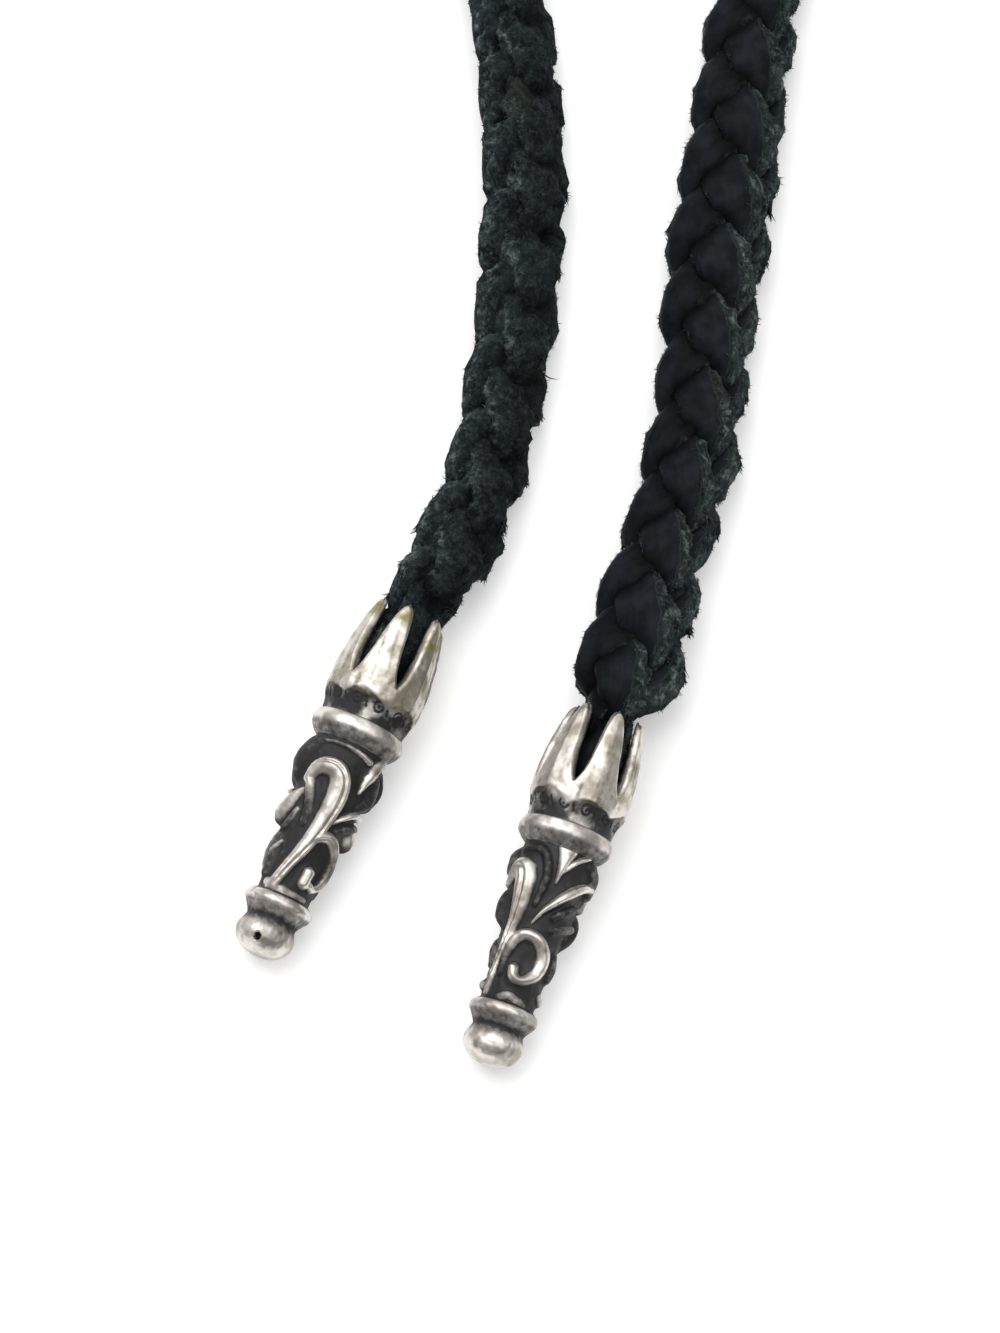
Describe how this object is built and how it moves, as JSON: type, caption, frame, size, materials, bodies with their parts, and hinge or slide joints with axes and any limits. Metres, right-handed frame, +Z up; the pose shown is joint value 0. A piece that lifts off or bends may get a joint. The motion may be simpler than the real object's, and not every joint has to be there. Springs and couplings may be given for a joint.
{
  "type": "braided leather necklace with two cast silver tips",
  "caption": "Long round-braided leather necklace lying as an open loop, its two free ends held in claw cups of scroll-cast silver tips.",
  "frame": {"origin": "on the surface that it lies on, at the middle of the outline's length and width", "axes": "+Z up from the surface, +Y along the necklace from the two tips towards the back of the neck, +X towards the right-hand tip's side"},
  "size_m": [0.1794, 0.3837, 0.0097],
  "materials": {
    "leather": "black square laces: one grain face, smooth and faintly striated, the cut and flesh sides raw, napped and dark green-grey",
    "silver": "cast silver, polished on the raised forms and blackened in the recesses"
  },
  "bodies": {
    "root": {"braid": "leather", "silver_tip_left": "silver", "silver_tip_right": "silver"}
  },
  "joints": []
}
